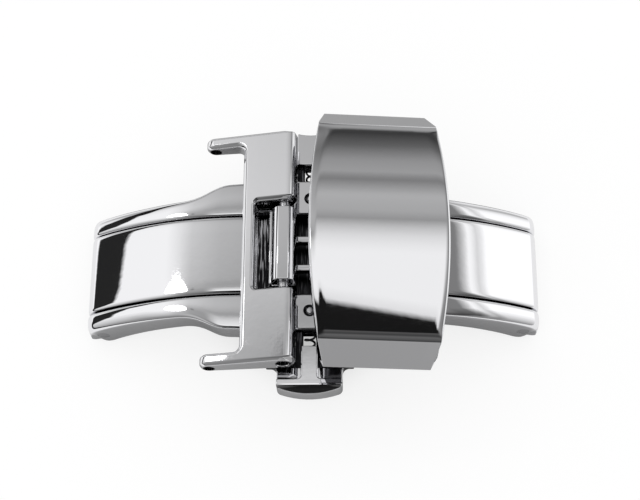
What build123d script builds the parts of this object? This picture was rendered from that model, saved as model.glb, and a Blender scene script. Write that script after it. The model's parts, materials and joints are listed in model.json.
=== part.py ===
from build123d import *
import math
import os

# Butterfly deployant clasp for a leather strap, shut.
# X runs along the strap, Y across it, Z up from the wrist side.
# The pieces are drawn about the middle plane of the strap. In the files the origin lies on the surface
# that the clasp stands on, midway between the end pins and midway between the near and far ends.

# Strap that the clasp is made for
strap_width = 18.0
strap_bar_hole_r = 0.45

# Clearances
press_gap = 0.01
run_gap = 0.04
slide_gap = 0.05
side_gap = 0.07
overrun = 2.0

# Arched base: a flat middle, and arms that curve down to an eye at each end
pin_reach = 17.3
eye_r = 1.35
crown_flat = 5.6
crown_r = 22.8
base_depth = 2.0
middle_bow = 0.18
knee_x = 6.3
knee_half = 6.42
waist_x = 11.0
waist_half = 5.2
end_half = 5.05
knee_pull_share = 0.42
waist_pull_share = 0.52
rail_inner_half = 3.5
outer_bevel = 0.42
inner_bevel = 0.3
floor_reach = 4.3
floor_thick = 0.5
end_pin_r = 0.5

# Button slides, their channel and the plates riveted over it
plate_half = 3.1
plate_thick = 0.4
plate_bevel = 0.14
rivet_share = 0.468
rivet_r = 0.35
rivet_sink_r = 0.5
rivet_sink_depth = 0.12
slide_side_wall = 0.36
button_travel = 0.8
catch_inner = 1.0
catch_width = 0.5
catch_rise = 0.1
catch_under = 0.72
shoulder_half = 3.5
shoulder_start = 1.0
shoulder_set_in = 0.6
shoulder_r = 0.55
stem_half = 0.64
stem_stand = 1.4
stem_rise = 0.15
stem_root_r = 0.3
thumb_half = 2.6
thumb_stand = 0.69
thumb_depth = 1.24
thumb_bow = 0.5
thumb_corner_r = 0.45
thumb_roll_r = 1.35
thumb_roll = 0.85
tab_half = 1.1
tab_set_in = 0.08
tab_hollow = 0.15

# Return springs of the buttons
wire_r = 0.09
wire_sides = 6
coil_r = 0.4
coil_turns = 4

# Wings that lie between the rails
wing_thick = 1.3
wing_bevel = 0.36
wing_inner_end = 2.75
neck_thick = 0.5
neck_round = 0.24
neck_rise = 1.4
knuckle_half = 3.2
knuckle_r = 1.0
knuckle_flat = 0.9
hinge_x = 2.05
hinge_rise = 1.5
hinge_pin_r = 0.45
hinge_pin_reach = 0.1
post_front = 1.1
post_thick = 0.6
post_inner = 1.95
post_outer = 3.05
nib_under = 0.85
nib_foot = 1.4

# Strap link with its two lugs
link_nose_r = 1.05
lug_reach = 5.8
lug_rise = 0.6
lug_tip_r = 0.75
lug_width = 1.05
link_plate_end = 3.38
lug_root_r = 0.55
notch_depth = 2.35
notch_half = 3.8
notch_corner_r = 0.3
link_bevel = 0.24

# Cover, in its own frame: x from the hinge pin towards the strap, z away from it
cover_tilt = 6.9
cover_overhang = 1.03
cover_rim = 1.82
cover_flank_run = 1.88
cover_edge = 3.7
cover_crown = 4.6
cover_wall = 0.75
cover_front_middle = 2.43
cover_front_side = 1.32
cover_back_middle = 8.65
cover_back_side = 7.58
cover_back_corner_r = 0.9
cover_front_corner_r = 0.25
cheek_thick = 0.95
cheek_top = 3.4
barrel_inner = 3.8

# Strap bar and tang inside the cover
bar_x = 6.25
bar_z = 0.35
bar_r = 0.75
bar_end_gap = 0.1
bar_bore_r = 0.52
bar_lip = 0.4
bar_tip_r = 0.4
bar_tip_reach = 0.7
bar_tip_stem = 1.2
bar_spring_wall = 0.14
bar_eye_r = 0.95
tang_ring_r = 1.05
tang_half = 0.7
tang_tip_half = 0.45
tang_thick = 0.6
tang_length = 4.3

# Heights and radii that follow from the sizes above
deck = eye_r + crown_r - math.sqrt((crown_r - eye_r) ** 2 - (pin_reach - crown_flat) ** 2)
base_under = deck - base_depth
plate_under = deck - plate_thick
floor_top = base_under + floor_thick
base_middle_half = knee_half + middle_bow
rivet_y = rail_inner_half + rivet_share * (base_middle_half - rail_inner_half)
channel_half = thumb_half + slide_gap
slide_top = plate_under - slide_gap
slide_bottom = floor_top + slide_gap
slide_half = thumb_half
window_half = slide_half - slide_side_wall
catch_outer = catch_inner + catch_width
window_end = post_outer + button_travel + 3 * slide_gap
slot_half = coil_r + wire_r + slide_gap
slot_start = rivet_y - rivet_r - slide_gap
spring_start = rivet_y + rivet_r + wire_r
stem_start = base_middle_half + stem_stand
coil_pitch = (stem_start - wire_r - spring_start) / coil_turns
spring_z = (slide_top + slide_bottom) / 2
hinge_z = deck + hinge_rise
wing_half = rail_inner_half - side_gap
lug_inner = strap_width / 2
link_half = lug_inner + lug_width
cheek_inner = strap_width / 2
cheek_outer = cheek_inner + cheek_thick
hinge_pin_half = cheek_inner + hinge_pin_reach
cover_half = cheek_outer + cover_overhang
cover_edge_half = cover_half - cover_flank_run
thumb_inner = link_half + thumb_stand
thumb_outer = thumb_inner + thumb_depth
tab_outer = cover_half - tab_set_in
shoulder_outer = link_half - shoulder_set_in
middle_shift = (thumb_outer - cover_half) / 2
crown_centre = (crown_flat, deck - crown_r)
eye_centre = (pin_reach, eye_r)
eye_rise = eye_r - base_under
under_r = ((pin_reach - crown_flat) ** 2 + eye_rise ** 2 - eye_r ** 2) / (2 * (eye_r - eye_rise))
under_centre = (crown_flat, base_under - under_r)


def on_circle(centre, radius, degrees):
    turn = math.radians(degrees)
    return (centre[0] + radius * math.cos(turn), centre[1] + radius * math.sin(turn))


def bearing(start, end):
    return math.degrees(math.atan2(end[1] - start[1], end[0] - start[0]))


def flipped(edges, plane):
    return [edge.mirror(plane) for edge in edges]


crown_turn = bearing(crown_centre, eye_centre)
under_turn = bearing(under_centre, eye_centre)


def arc(centre, radius, start, end):
    return ThreePointArc(
        on_circle(centre, radius, start),
        on_circle(centre, radius, (start + end) / 2),
        on_circle(centre, radius, end),
    )


def slab(sketch, low_y, high_y):
    """A side view drawn in X and Z, given its width from low_y to high_y."""
    return Pos(0, high_y, 0) * extrude(Plane.XZ * sketch, amount=high_y - low_y)


def block(low, high):
    size = [b - a for a, b in zip(low, high)]
    middle = [(a + b) / 2 for a, b in zip(low, high)]
    return Pos(*middle) * Box(*size)


def cross_rod(x, z, radius, half):
    """A round bar across the clasp."""
    return Pos(x, 0, z) * Rot(90, 0, 0) * Cylinder(radius, 2 * half)


def both_ways(solid):
    return solid + mirror(solid, Plane.XZ)


def left_hand(solid):
    return mirror(solid, Plane.YZ)


def crown_height(x):
    """Height of the arched top surface over a place along the strap."""
    run = max(abs(x) - crown_flat, 0)
    return crown_centre[1] + math.sqrt(crown_r ** 2 - run ** 2)


def on_crown(edge, half):
    """True for an edge that lies in the arched top at the given distance from the middle."""
    ends = [edge @ 0, edge @ 0.5, edge @ 1]
    return all(
        abs(abs(p.Y) - half(p.X)) < slide_gap
        and abs(p.X) < pin_reach + eye_r
        and abs(p.Z - crown_height(p.X)) < slide_gap
        for p in ends
    )


def base_side_view():
    right = [
        arc(crown_centre, crown_r, 90, crown_turn),
        arc(eye_centre, eye_r, crown_turn, under_turn - 180),
        arc(under_centre, under_r, under_turn, 90),
    ]
    edges = [
        Line((-crown_flat, deck), (crown_flat, deck)),
        *right,
        Line((crown_flat, base_under), (-crown_flat, base_under)),
        *flipped(right, Plane.YZ),
    ]
    return make_face(Wire(edges))


def base_plan():
    reach = pin_reach + eye_r + overrun
    flare = waist_x - knee_x
    near_knee = (knee_x + knee_pull_share * flare, knee_half)
    near_waist = (waist_x - waist_pull_share * flare, waist_half)
    quarter = [
        Bezier((knee_x, knee_half), near_knee, near_waist, (waist_x, waist_half)),
        Line((waist_x, waist_half), (reach, end_half)),
    ]
    end = Line((reach, end_half), (reach, -end_half))
    half = [*quarter, end, *flipped(quarter, Plane.XZ)]
    middle = [ThreePointArc((-knee_x, knee_half), (0, base_middle_half), (knee_x, knee_half))]
    return make_face(Wire([*half, *flipped(half, Plane.YZ), *middle, *flipped(middle, Plane.XZ)]))


def base_frame():
    tall = deck + overrun
    frame = slab(base_side_view(), -base_middle_half - overrun, base_middle_half + overrun)
    frame = frame & extrude(base_plan(), amount=tall)
    outer = [e for e in frame.edges() if min(abs((e @ t).Y) for t in (0, 0.5, 1)) > end_half - slide_gap]
    top = [e for e in outer if all(abs((e @ t).Z - crown_height((e @ t).X)) < slide_gap for t in (0, 0.5, 1))]
    frame = chamfer(top, outer_bevel)
    reach = pin_reach + eye_r + overrun
    wing_slot = block((floor_reach, -rail_inner_half, -overrun), (reach, rail_inner_half, tall))
    frame = frame - wing_slot - left_hand(wing_slot)
    frame = frame - block((-floor_reach, -rail_inner_half, floor_top), (floor_reach, rail_inner_half, tall))
    inner = [e for e in frame.edges() if on_crown(e, lambda x: rail_inner_half)]
    frame = chamfer(inner, inner_bevel)
    wide = base_middle_half + overrun
    frame = frame - block((-channel_half, -wide, floor_top), (channel_half, wide, tall))
    seat = plate_half + slide_gap
    frame = frame - block((-seat, -wide, plate_under), (seat, wide, tall))
    eye_hole = cross_rod(pin_reach, eye_r, end_pin_r + press_gap, wide)
    frame = frame - eye_hole - left_hand(eye_hole)
    rivet_hole = Pos(0, rivet_y, floor_top) * Cylinder(rivet_r + press_gap, 2 * base_depth)
    return frame - both_ways(rivet_hole)


def end_pin():
    return cross_rod(pin_reach, eye_r, end_pin_r, end_half)


def guide_plate():
    """Far plate over the button channel, held by one rivet."""
    low = (-plate_half, rail_inner_half, plate_under)
    plate = block(low, (plate_half, base_middle_half, deck))
    long_edges = plate.edges().filter_by(Axis.X).group_by(Axis.Z)[-1]
    plate = chamfer(long_edges, plate_bevel)
    hole = Pos(0, rivet_y, deck) * Cylinder(rivet_r + press_gap, 2 * base_depth)
    sink = Pos(0, rivet_y, deck) * Cylinder(rivet_sink_r, 2 * rivet_sink_depth)
    return plate - hole - sink


def guide_rivet():
    length = deck - base_under
    rivet = Pos(0, rivet_y, base_under + length / 2) * Cylinder(rivet_r, length)
    return chamfer(rivet.edges().group_by(Axis.Z)[-1], rivet_sink_r - rivet_r - slide_gap)


def slide(outer):
    """Far slide: a catch bar inside, a window for the posts of the wings and a slot for the spring."""
    body = block((-slide_half, catch_inner, slide_bottom), (slide_half, outer, slide_top))
    catch = block((-slide_half, catch_inner, slide_top), (slide_half, catch_outer, deck + catch_rise))
    shoulder_inner = base_middle_half + shoulder_start
    shoulder = block(
        (-shoulder_half, shoulder_inner, slide_bottom), (shoulder_half, shoulder_outer, slide_top)
    )
    window = block((-window_half, catch_outer, base_under), (window_half, window_end, deck))
    under_catch = block((-window_half, 0, base_under), (window_half, catch_outer, deck - catch_under))
    slot = block((-slot_half, slot_start, base_under), (slot_half, stem_start, deck + overrun))
    solid = body + catch + shoulder - window - under_catch - slot
    roots = [
        e for e in solid.edges().filter_by(Axis.Z)
        if abs((e @ 0.5).Y - shoulder_outer) < slide_gap and abs(abs((e @ 0.5).X) - slide_half) < slide_gap
    ]
    return fillet(roots, shoulder_r)


def thumb_button():
    """Far-side shape of the near button: a stem and a thumb piece that rolls off outwards."""
    top = deck + stem_rise
    corner = thumb_outer - thumb_bow
    half = [
        Line((stem_half, stem_start), (stem_half, thumb_inner - stem_root_r)),
        arc((stem_half + stem_root_r, thumb_inner - stem_root_r), stem_root_r, 180, 90),
        Line((stem_half + stem_root_r, thumb_inner), (thumb_half, thumb_inner)),
        Line((thumb_half, thumb_inner), (thumb_half, corner)),
    ]
    outline = [
        Line((-stem_half, stem_start), (stem_half, stem_start)),
        *half,
        ThreePointArc((thumb_half, corner), (0, thumb_outer), (-thumb_half, corner)),
        *flipped(half, Plane.YZ),
    ]
    raised = Pos(0, 0, slide_bottom) * extrude(make_face(Wire(outline)), amount=top - slide_bottom)
    upright = raised.edges().filter_by(Axis.Z)
    corners = [e for e in upright if abs((e @ 0).Y - corner) < slide_gap]
    raised = fillet(corners, thumb_corner_r)
    roll_start = thumb_outer - thumb_roll
    roll_end = math.degrees(math.acos(thumb_roll / thumb_roll_r))
    roll_foot = on_circle((roll_start, top - thumb_roll_r), thumb_roll_r, roll_end)
    side = make_face(Wire([
        Line((0, 0), (0, top)),
        Line((0, top), (roll_start, top)),
        arc((roll_start, top - thumb_roll_r), thumb_roll_r, 90, roll_end),
        Line(roll_foot, (roll_foot[0], 0)),
        Line((roll_foot[0], 0), (0, 0)),
    ]))
    envelope = extrude(Plane.YZ * side, amount=2 * thumb_half, both=True)
    return slide(thumb_inner) + (raised & envelope)


def tab_button():
    """Far button: a plain raised tab whose hollow end lies flush with the side of the cover."""
    outline = [
        Line((-tab_half, stem_start), (tab_half, stem_start)),
        Line((tab_half, stem_start), (tab_half, tab_outer)),
        ThreePointArc((tab_half, tab_outer), (0, tab_outer - tab_hollow), (-tab_half, tab_outer)),
        Line((-tab_half, tab_outer), (-tab_half, stem_start)),
    ]
    height = deck + stem_rise - slide_bottom
    raised = Pos(0, 0, slide_bottom) * extrude(make_face(Wire(outline)), amount=height)
    return slide(tab_outer - tab_hollow) + raised


def coil_point(quarter):
    turn = quarter * math.pi / 2
    return Vector(
        coil_r * math.sin(turn),
        spring_start + coil_pitch * quarter / 4,
        spring_z + coil_r * math.cos(turn),
    )


def coil_heading(quarter):
    turn = quarter * math.pi / 2
    climb = coil_pitch / (2 * math.pi * coil_r)
    return Vector(math.cos(turn), climb, -math.sin(turn)).normalized()


def arc_pair(start, start_heading, end, end_heading):
    """Two arcs in one tangent line from start to end."""
    chord = end - start
    spread = 2 * (1 - start_heading.dot(end_heading))
    along = 2 * chord.dot(start_heading + end_heading)
    reach = (math.sqrt(along ** 2 + 4 * spread * chord.dot(chord)) - along) / (2 * spread)
    joint = (start + start_heading * reach + end - end_heading * reach) * 0.5
    first = TangentArc(start, joint, tangent=start_heading)
    return [first, TangentArc(joint, end, tangent=first % 1)]


def button_spring():
    """Far spring, one unbroken wire wound along Y."""
    edges = []
    for quarter in range(4 * coil_turns):
        edges += arc_pair(
            coil_point(quarter),
            coil_heading(quarter),
            coil_point(quarter + 1),
            coil_heading(quarter + 1),
        )
    path = Wire(edges)
    section = Plane(origin=path @ 0, z_dir=path % 0) * RegularPolygon(wire_r, wire_sides)
    spring = sweep(section, path=path)
    print("spring wire", round(path.length, 3), "volume", round(spring.volume, 5),
          "section times length", round(section.area * path.length, 5),
          "least gap to itself", round(coil_pitch - 2 * wire_r, 3))
    return spring


def wing():
    """Right wing: tongue between the rails, eye at the outer end, knuckle and catch posts inside."""
    lower = crown_r - wing_thick
    tongue_side = make_face(Wire([
        Line((wing_inner_end, deck), (crown_flat, deck)),
        arc(crown_centre, crown_r, 90, crown_turn),
        Line(on_circle(crown_centre, crown_r, crown_turn), on_circle(crown_centre, lower, crown_turn)),
        arc(crown_centre, lower, crown_turn, 90),
        Line((crown_flat, deck - wing_thick), (wing_inner_end, deck - wing_thick)),
        Line((wing_inner_end, deck - wing_thick), (wing_inner_end, deck)),
    ]))
    tongue = slab(tongue_side + Pos(*eye_centre) * Circle(eye_r), -wing_half, wing_half)
    long_edges = [e for e in tongue.edges() if on_crown(e, lambda x: wing_half)]
    tongue = chamfer(long_edges, wing_bevel)
    back = wing_inner_end + neck_thick
    foot = back + neck_round
    neck_side = make_face(Wire([
        Line((wing_inner_end, deck - wing_thick), (foot, deck - wing_thick)),
        Line((foot, deck - wing_thick), (foot, deck)),
        arc((foot, deck + neck_round), neck_round, 270, 180),
        Line((back, deck + neck_round), (back, deck + neck_rise)),
        Line((back, deck + neck_rise), (wing_inner_end, deck + neck_rise)),
        Line((wing_inner_end, deck + neck_rise), (wing_inner_end, deck - wing_thick)),
    ]))
    barrel = Pos(hinge_x, hinge_z) * Circle(knuckle_r)
    shaved = Pos(hinge_x, hinge_z + knuckle_flat - knuckle_r) * Rectangle(2 * knuckle_r, 2 * knuckle_r)
    knuckle = slab(neck_side + (barrel & shaved), -knuckle_half, knuckle_half)
    post_back = post_front + post_thick
    post = block((post_front, post_inner, deck - nib_foot), (post_back, post_outer, hinge_z - hinge_pin_r))
    nib = block(
        (post_front, catch_outer + slide_gap, deck - nib_foot),
        (post_back, post_inner, deck - nib_under),
    )
    solid = tongue + knuckle + both_ways(post + nib)
    solid = solid - cross_rod(pin_reach, eye_r, end_pin_r + run_gap, base_middle_half)
    return solid - cross_rod(hinge_x, hinge_z, hinge_pin_r + press_gap, link_half)


def hinge_pin():
    return cross_rod(hinge_x, hinge_z, hinge_pin_r, hinge_pin_half)


def strap_link():
    """Right-handed in its sums, then mirrored: a plate with a round nose and two lugs."""
    nose = (hinge_x, hinge_z)
    tip = (hinge_x + lug_reach, deck + lug_rise)
    apart = math.dist(nose, tip)
    lean = math.degrees(math.asin((link_nose_r - lug_tip_r) / apart))
    course = bearing(nose, tip)
    upper = course + 90 - lean
    lower = course - 90 + lean
    side = make_face(Wire([
        Line(on_circle(nose, link_nose_r, upper), on_circle(tip, lug_tip_r, upper)),
        arc(tip, lug_tip_r, upper, lower),
        Line(on_circle(tip, lug_tip_r, lower), on_circle(nose, link_nose_r, lower)),
        arc(nose, link_nose_r, lower, upper - 360),
    ]))
    link = slab(side, -link_half, link_half)
    tall = deck + hinge_rise + link_nose_r + overrun
    root = hinge_x + link_plate_end
    gap = block((root, -lug_inner, 0), (tip[0] + overrun, lug_inner, tall))
    gap = fillet(gap.edges().filter_by(Axis.Z).group_by(Axis.X)[0], lug_root_r)
    notch_end = hinge_x + notch_depth
    notch = block((0, -notch_half, 0), (notch_end, notch_half, tall))
    notch = fillet(notch.edges().filter_by(Axis.Z).group_by(Axis.X)[-1], notch_corner_r)
    link = link - gap - notch
    upper_run = [e for e in link.edges() if upper_edge(e, nose, tip)]
    link = chamfer(upper_run, link_bevel)
    bore = cross_rod(hinge_x, hinge_z, hinge_pin_r + run_gap, link_half + overrun)
    strap_bar_bore = cross_rod(tip[0], tip[1], strap_bar_hole_r, link_half + overrun)
    return left_hand(link - bore - strap_bar_bore)


def upper_edge(edge, nose, tip):
    """True for an edge in the sloping upper face of the link that bounds the plate or a lug."""
    slope = (tip[1] + lug_tip_r - nose[1] - link_nose_r) / (tip[0] - nose[0])
    middle = edge @ 0.5
    height = nose[1] + link_nose_r + slope * (middle.X - nose[0])
    inside = hinge_x + slide_gap < middle.X < tip[0] - slide_gap
    return inside and abs(middle.Z - height) < 2 * slide_gap and abs((edge % 0.5).Z) < 0.5


def cover_place(solid):
    return Pos(hinge_x, 0, hinge_z) * Rot(0, cover_tilt, 0) * solid


def cover_section(inset):
    """Cross-section of the roof and its two sloping sides, seen along X, drawn inset all round."""
    fall = math.atan2(cover_edge - cover_rim, cover_half - cover_edge_half)
    edge_half = cover_edge_half - inset * math.tan(fall / 2)
    edge = cover_edge - inset
    foot_half = cover_half - inset / math.sin(fall)
    foot = cover_rim
    edges = [
        Line((foot_half, foot), (edge_half, edge)),
        ThreePointArc((edge_half, edge), (0, cover_crown - inset), (-edge_half, edge)),
        Line((-edge_half, edge), (-foot_half, foot)),
        Line((-foot_half, foot), (foot_half, foot)),
    ]
    return make_face(Wire(edges))


def cover_run(inset):
    reach = cover_back_middle + overrun
    return extrude(Plane.YZ * cover_section(inset), amount=reach, both=True)


def cover_plan():
    edges = [
        ThreePointArc(
            (-cover_front_side, -cover_half), (-cover_front_middle, 0), (-cover_front_side, cover_half)
        ),
        Line((-cover_front_side, cover_half), (cover_back_side, cover_half)),
        ThreePointArc((cover_back_side, cover_half), (cover_back_middle, 0), (cover_back_side, -cover_half)),
        Line((cover_back_side, -cover_half), (-cover_front_side, -cover_half)),
    ]
    solid = extrude(make_face(Wire(edges)), amount=cover_crown + overrun)
    upright = solid.edges().filter_by(Axis.Z).sort_by(Axis.X)
    solid = fillet(upright[2:], cover_back_corner_r)
    upright = solid.edges().filter_by(Axis.Z).sort_by(Axis.X)
    return fillet(upright[:2], cover_front_corner_r)


def cover():
    """Arched cover with a cheek inside each flank; the cheeks carry the hinge barrels and the strap bar."""
    shell = (cover_run(0) - cover_run(cover_wall)) & cover_plan()
    cheek_side = make_face(Polyline(
        (-link_nose_r, 0),
        (bar_x + bar_eye_r, bar_z),
        (bar_x + bar_eye_r, cheek_top),
        (-link_nose_r, cheek_top),
        (-link_nose_r, 0),
    ))
    cheek_side = cheek_side + Circle(link_nose_r) + Pos(bar_x, bar_z) * Circle(bar_eye_r)
    cheek = slab(cheek_side, cheek_inner, cheek_outer)
    envelope = cover_run(cover_wall / 2) + block(
        (-cover_back_middle, -cover_half, -cover_half), (2 * cover_back_middle, cover_half, cover_rim)
    )
    cheek = cheek & envelope
    barrel = slab(Sketch() + Circle(link_nose_r), barrel_inner, cheek_inner + cheek_thick / 2)
    solid = shell + both_ways(cheek + barrel)
    solid = solid - cross_rod(0, 0, hinge_pin_r + run_gap, cover_half)
    solid = solid - cross_rod(bar_x, bar_z, bar_tip_r + slide_gap, cheek_outer + slide_gap)
    return cover_place(solid)


def bar_half():
    return cheek_inner - bar_end_gap


def bar_disc(radius, start, end):
    """A round stretch of the strap bar's axis, on the far side."""
    return slab(Sketch() + Pos(bar_x, bar_z) * Circle(radius), start, end)


def strap_bar_tube():
    tube = cross_rod(bar_x, bar_z, bar_r, bar_half())
    tube = tube - cross_rod(bar_x, bar_z, bar_bore_r, bar_half() - bar_lip)
    return cover_place(tube - cross_rod(bar_x, bar_z, bar_tip_r + press_gap, cover_half))


def strap_bar_tip():
    """Far tip: a pivot that stands out of the tube and a head that the tube's lip holds back."""
    pivot = bar_disc(bar_tip_r, bar_half() - bar_lip, bar_half() + bar_tip_reach)
    head = bar_disc(bar_bore_r - press_gap, bar_half() - bar_lip - bar_tip_stem, bar_half() - bar_lip)
    return cover_place(pivot + head)


def strap_bar_spring():
    """The coil sealed in the tube, as the sleeve that its wire fills."""
    half = bar_half() - bar_lip - bar_tip_stem
    sleeve = cross_rod(bar_x, bar_z, bar_bore_r - press_gap, half)
    return cover_place(sleeve - cross_rod(bar_x, bar_z, bar_bore_r - bar_spring_wall, cover_half))


def tang():
    """Ring on the strap bar and a tapering tongue that points towards the hinge."""
    start = bar_x - tang_ring_r + tang_thick / 2
    end = bar_x - tang_length
    outline = Polyline(
        (start, -tang_half), (end + tang_tip_half, -tang_tip_half), (end + tang_tip_half, tang_tip_half),
        (start, tang_half), (start, -tang_half),
    )
    plan = make_face(outline) + Pos(end + tang_tip_half, 0) * Circle(tang_tip_half)
    tongue = Pos(0, 0, bar_z - tang_thick / 2) * extrude(plan, amount=tang_thick)
    ring = cross_rod(bar_x, bar_z, tang_ring_r, tang_half)
    return cover_place(ring + tongue - cross_rod(bar_x, bar_z, bar_r + run_gap, cover_half))


def write(name, *solids):
    """One file for each sub-part, moved so that the origin is midway between the near and far ends."""
    placed = [Pos(0, middle_shift, 0) * solid for solid in solids]
    whole = placed[0] if len(placed) == 1 else Compound(children=placed)
    whole.label = name
    export_step(whole, os.path.join("parts", name + ".step"))


os.makedirs("parts", exist_ok=True)

far_plate = guide_plate()
far_rivet = guide_rivet()
far_button = tab_button()
near_button = mirror(thumb_button(), Plane.XZ)
far_spring = button_spring()
right_wing = wing()
right_pin = hinge_pin()
right_end_pin = end_pin()
far_tip = strap_bar_tip()

write("base_frame", base_frame())
write("left_end_pin", left_hand(right_end_pin))
write("right_end_pin", right_end_pin)
write("far_guide_plate", far_plate)
write("near_guide_plate", mirror(far_plate, Plane.XZ))
write("guide_rivets", far_rivet, mirror(far_rivet, Plane.XZ))
write("far_button", far_button)
write("near_button", near_button)
write("far_button_spring", far_spring)
write("near_button_spring", mirror(far_spring, Plane.XZ))
write("left_wing", left_hand(right_wing))
write("right_wing", right_wing)
write("link_pin", left_hand(right_pin))
write("cover_pin", right_pin)
write("strap_link", strap_link())
write("cover", cover())
write("strap_bar_tube", strap_bar_tube())
write("strap_bar_tips", far_tip, mirror(far_tip, Plane.XZ))
write("strap_bar_spring", strap_bar_spring())
write("tang", tang())
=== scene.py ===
import json
import math

import bmesh
import bpy
from mathutils import Matrix, Vector


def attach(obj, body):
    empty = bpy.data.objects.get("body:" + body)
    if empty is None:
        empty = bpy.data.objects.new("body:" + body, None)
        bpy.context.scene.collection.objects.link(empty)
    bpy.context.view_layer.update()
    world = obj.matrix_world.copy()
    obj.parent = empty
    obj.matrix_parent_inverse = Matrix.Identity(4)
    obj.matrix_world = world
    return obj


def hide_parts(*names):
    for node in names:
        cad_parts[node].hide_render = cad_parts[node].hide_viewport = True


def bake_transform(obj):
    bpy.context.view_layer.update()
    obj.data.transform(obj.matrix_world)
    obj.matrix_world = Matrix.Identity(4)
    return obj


MM = 0.001

# Camera: where it stands in millimetres, how it is turned in degrees, and its lens
CAMERA_PLACE = Vector((5.82, -53.32, 127.65)) * MM
CAMERA_TILT = 23.997
CAMERA_YAW = 2.370
CAMERA_ROLL = 0.336
LENS_MM = 92.33
SENSOR_MM = 36.0
SEEN_FROM = 5 * MM
SEEN_TO = 10

# How far polishing has rounded the edges of each piece, in millimetres, and in how many steps
EDGE_ROUNDING = {
    "base_frame": 0.05,
    "near_guide_plate": 0.05,
    "far_guide_plate": 0.05,
    "guide_rivets": 0.04,
    "left_wing": 0.08,
    "right_wing": 0.08,
    "link_pin": 0.06,
    "cover_pin": 0.06,
    "strap_link": 0.10,
    "strap_bar_tube": 0.05,
    "strap_bar_tips": 0.05,
    "tang": 0.10,
    "near_button": 0.09,
    "far_button": 0.08,
}
ROUNDING_STEPS = 3
BASE_ROUNDING_STEPS = 2
SHARP = math.radians(24)
FLAT = math.radians(0.4)
MERGED = 0.0005
ON_SURFACE = 0.02
ON_PLANE = 0.0001
ROD_SIDES = 48
CORNER_STEPS = 6
HALVINGS = 24

# Base frame, in millimetres, drawn about the strap's middle plane
MIDDLE_SHIFT = 0.5
DECK = 6.1719
SEAM_X = 4.3
EYE = (17.3, 1.35)
EYE_R = 1.35
END_PIN_HOLE_R = 0.51
CROWN_FLAT = 5.6
CROWN_R = 22.8
CROWN_CENTRE = (CROWN_FLAT, DECK - CROWN_R)
BASE_DEPTH = 2.0
MIDDLE_HALF = 6.6
KNEE = (6.3, 6.42)
WAIST = (11.0, 5.2)
KNEE_PULL = 0.42
WAIST_PULL = 0.52
END_HALF = 5.05
END_CORNER = 0.2
ARM_STEPS = 60
EYE_STEPS = 16
EYE_TIP_GAP = 4

# Section of a rail: its value at the middle of the clasp, and what is added to it towards the end
RAIL_INNER = 3.53
RAIL_FOOT = 0.05
RAIL_CREST = (0.55, -0.2)
RAIL_ROLL = (0.26, 0.5)
RAIL_ROLL_DOWN = (0.22, 0.28)
RAIL_INNER_EDGE = (0.18, 0.14)
RAIL_INNER_DOWN = (0.10, 0.14)
RAIL_SOFTENS = (7.5, 6.0)
RAIL_CROWNING = 0.045
RAIL_CROWN_REACH = 0.95
RAIL_LIMITS = {"roll": 0.5, "roll_down": 0.4, "inner_down": 0.3}
RAIL_CORNER_STEPS = 8

# Wings
WING_HALF = 3.38
WING_THICK = 1.3
WING_EYE_PLAY = 0.03
WING_SOFT_EDGE = 0.9
WING_CROWNING = 0.015
WING_CORNER_DOWN = 0.16
WING_CORNER_LIMIT = 0.3
WING_CORNER = 0.34
WING_CREASE = (0.36, 0.5)

# Strap link, about its pin's place on the left
HINGE = (2.05, 7.6719)
LINK_PIN_HOLE_R = 0.5
LINK_NOSE_R = 1.05
LINK_LEAN = 11.7
LINK_CORNER = 6
LUG_BORE = (-7.85, 6.77)
LUG_BORE_R = 0.45
BORE_STEPS = 32
OFF_AXIS = 0.01

# Cover, in its own frame about its pin
COVER_TILT = 6.9
COVER_HALF = 10.98
COVER_RIM = 1.82
COVER_EDGE = (9.1, 3.7)
COVER_CROWN = 4.6
COVER_WALL = 0.75
# Both ends: where they stand at the middle and at the side, and the radius of their corners in plan
COVER_FRONT = (-2.43, -1.32, 0.25)
COVER_BACK = (8.65, 7.58, 0.35)
COVER_CREASE = 0.43
COVER_CREASE_STEPS = 10
COVER_CROWN_MARGIN = 0.6
COVER_CROWN_STEPS = 60
# How far the drawn-down edge of the roof reaches, and how deep it drops
COVER_SOFT_FRONT = (0.8, 0.05)
COVER_SOFT_BACK = (0.6, 0.04)
COVER_RIM_ROUNDING = (0.14, 0.05)
COVER_ROOF_MARGIN = 0.1
COVER_ROOF_FADE = 1.0
COVER_CREASE_POWER = 4
COVER_END_STEPS = (0, 0.003, 0.01, 0.025, 0.05, 0.08, 0.11, 0.14, 0.2, 0.3, 0.45, 0.6, 0.8, 1.0, 1.25, 1.5,
                   1.8, 2.1)
# Cheeks, from and to a distance from the middle plane, with their barrels and the eyes for the strap bar
CHEEK = (9.0, 9.95)
CHEEK_TOP = (3.05, 2.3)
CHEEK_PLAY = 0.02
BARREL_INNER = 3.8
BARREL_R = 1.05
COVER_BORE_R = 0.49
BAR = (6.25, 0.35)
BAR_EYE_R = 0.95
BAR_HOLE_R = 0.45

# Grain of the finishes, in millimetres along x, y and z, and how high it stands
HAZE_GRAIN = (1.0, 0.111, 0.167)
RIPPLE_GRAIN = (0.588,)
RIPPLE_HEIGHT = 0.0012
COVER_RIPPLE_HEIGHT = 0.00048
SHEAR_GRAIN = (0.111, 2.0, 0.111)
RING_PITCH = (0.0628,)
RING_HEIGHT = 0.004
DIE_MARK_GRAIN = (0.5, 0.0417, 0.5)
DIE_MARK_HEIGHT = 0.004

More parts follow.
